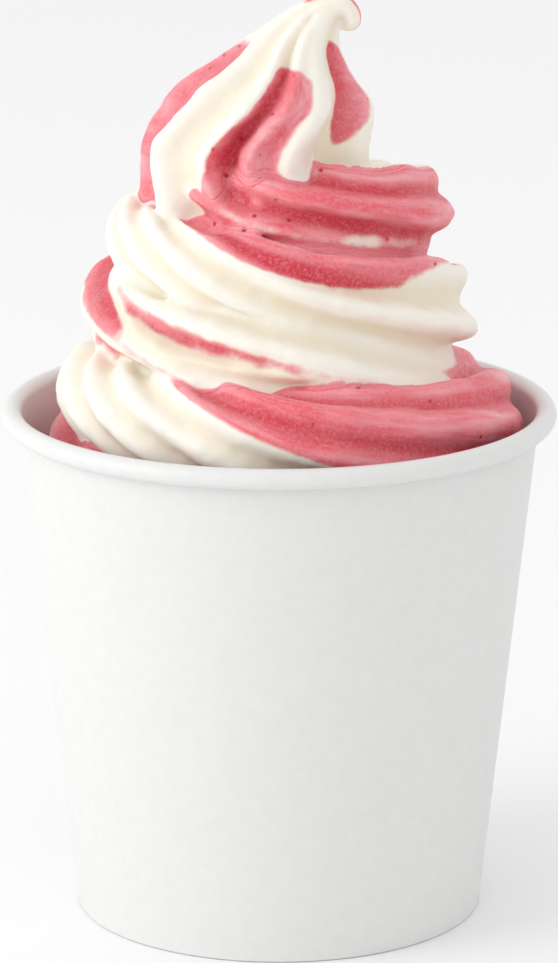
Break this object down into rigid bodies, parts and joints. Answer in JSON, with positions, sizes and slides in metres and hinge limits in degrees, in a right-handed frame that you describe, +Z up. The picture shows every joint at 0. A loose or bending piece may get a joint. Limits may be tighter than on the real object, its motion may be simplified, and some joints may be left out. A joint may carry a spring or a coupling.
{
  "type": "frozen yogurt cup",
  "caption": "White paper dessert cup with a rolled rim, filled with a tall ridged swirl of cream and pink frozen yogurt that ends in a curled peak.",
  "frame": {"origin": "middle of the cup's foot ring, on the surface that it stands on", "axes": "+Z up along the cup's axis, -Y towards the side with the sidewall's plain front, the peak leans towards +X"},
  "size_m": [0.092, 0.092, 0.1551],
  "materials": {
    "cup_board": "coated, satin",
    "cup_bottom_board": "coated, matte",
    "frozen_yogurt": "soft, moist, marbled cream and pink"
  },
  "bodies": {
    "root": {"cup_wall": "cup_board", "cup_bottom": "cup_bottom_board", "frozen_yogurt": "frozen_yogurt"}
  },
  "joints": []
}
